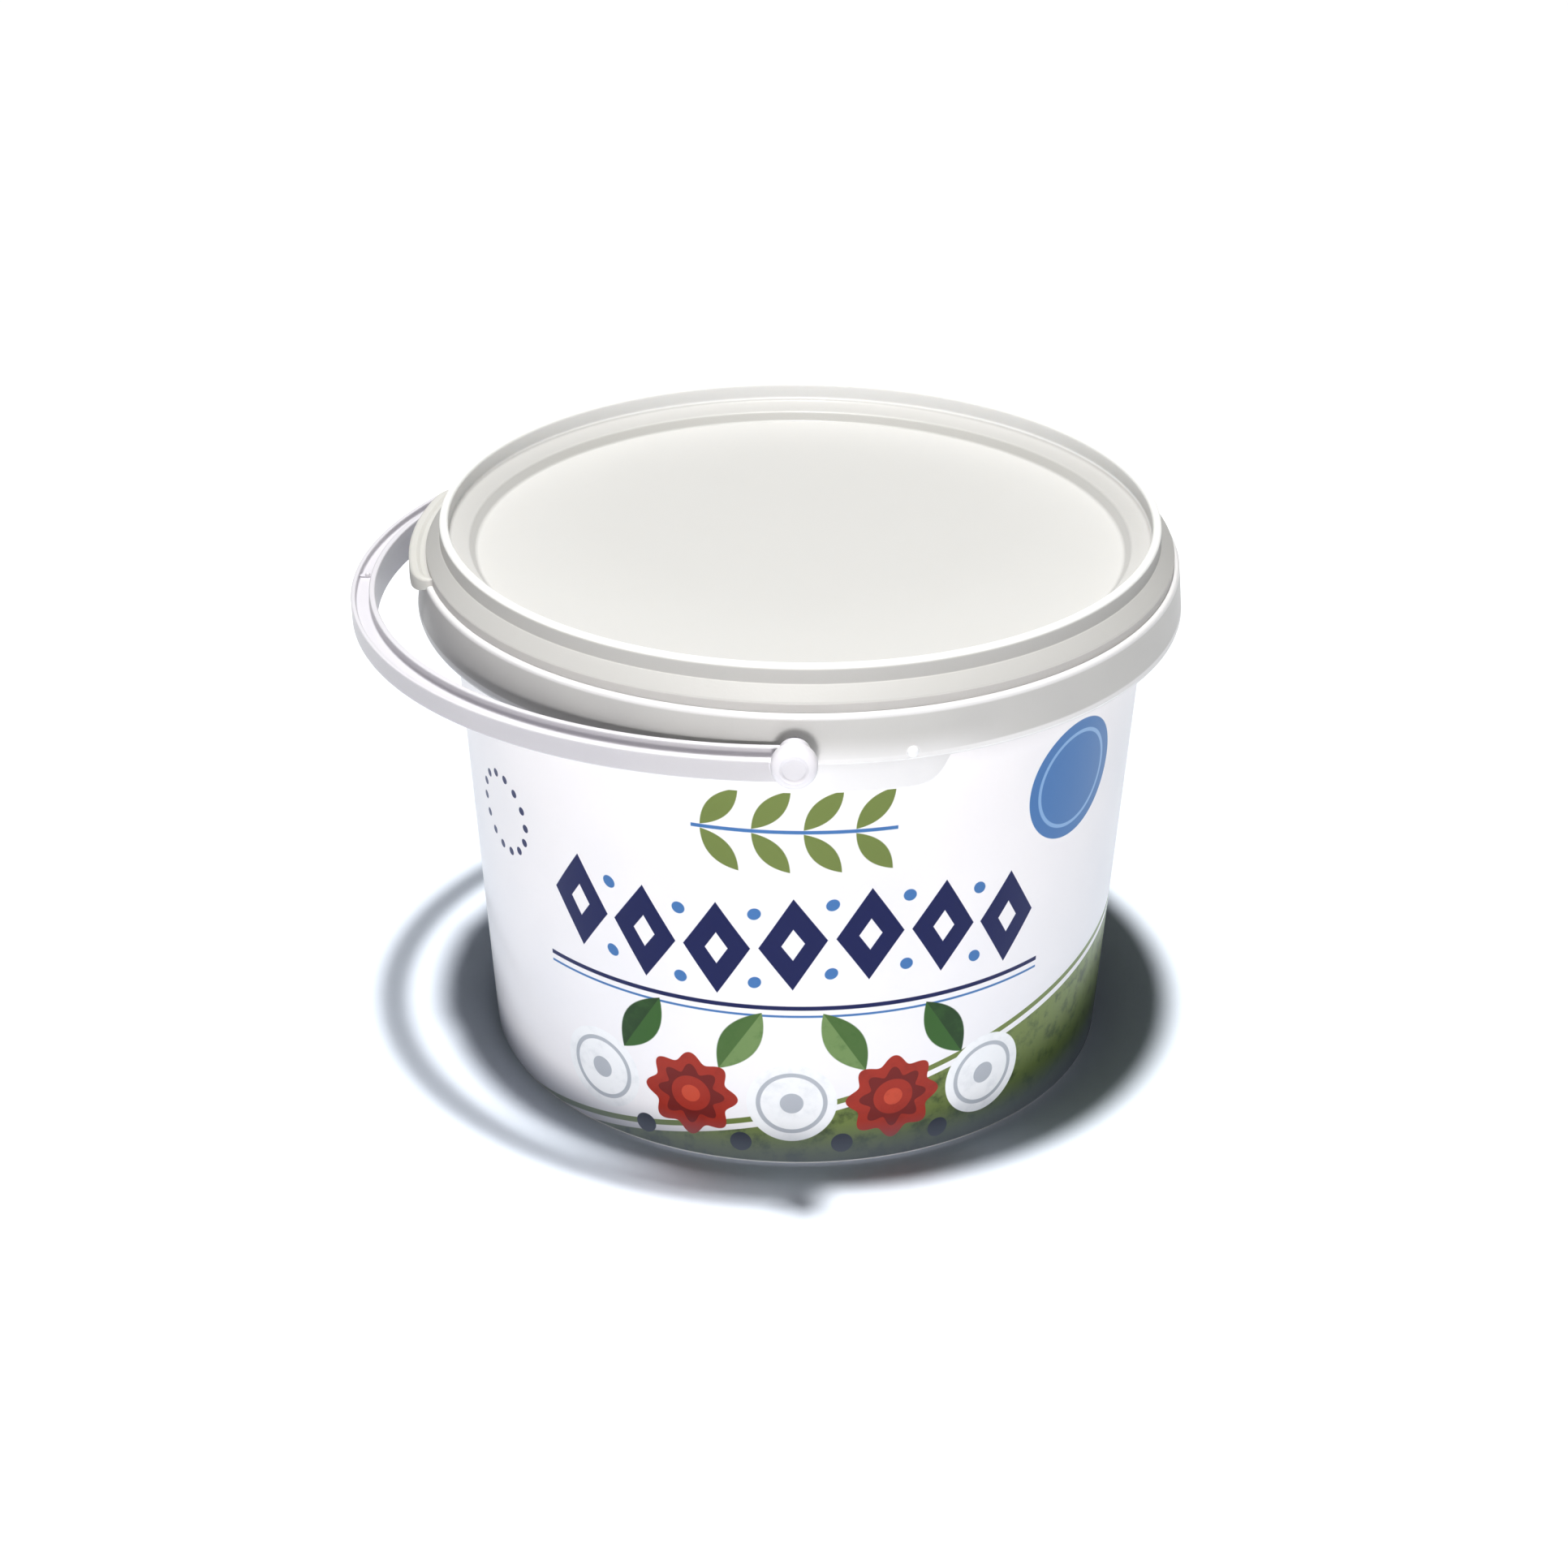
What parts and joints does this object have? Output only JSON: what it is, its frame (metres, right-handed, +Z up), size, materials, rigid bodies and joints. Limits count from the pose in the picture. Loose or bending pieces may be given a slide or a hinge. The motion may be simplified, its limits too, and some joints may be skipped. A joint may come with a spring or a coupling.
{
  "type": "lidded food pail",
  "caption": "Shut round plastic pail for small cheeses in brine, with a leaning wall, a wide collar, a press-fit lid with a pull tab and a turning carrying handle.",
  "frame": {"origin": "middle of the base, on the surface that the pail stands on", "axes": "+Z up along the axis of the tub; the printed front faces -Y; the handle lies out to -X and turns about +Y"},
  "size_m": [0.1914, 0.1944, 0.1308],
  "materials": {
    "tub": "white moulded plastic with a printed wrap of colour fields and simple shapes on the wall",
    "lid": "warm white moulded plastic, soft gloss",
    "handle": "cool white moulded plastic, soft gloss"
  },
  "bodies": {
    "pail": {"tub": "tub", "lid": "lid"},
    "handle": {"handle": "handle"}
  },
  "joints": [
    {"name": "handle_hinge", "type": "hinge", "parent": "pail", "child": "handle", "pos_m": [0, 0, 0.114], "axis": [0, 1, 0], "range_deg": [0, 182.4]}
  ]
}
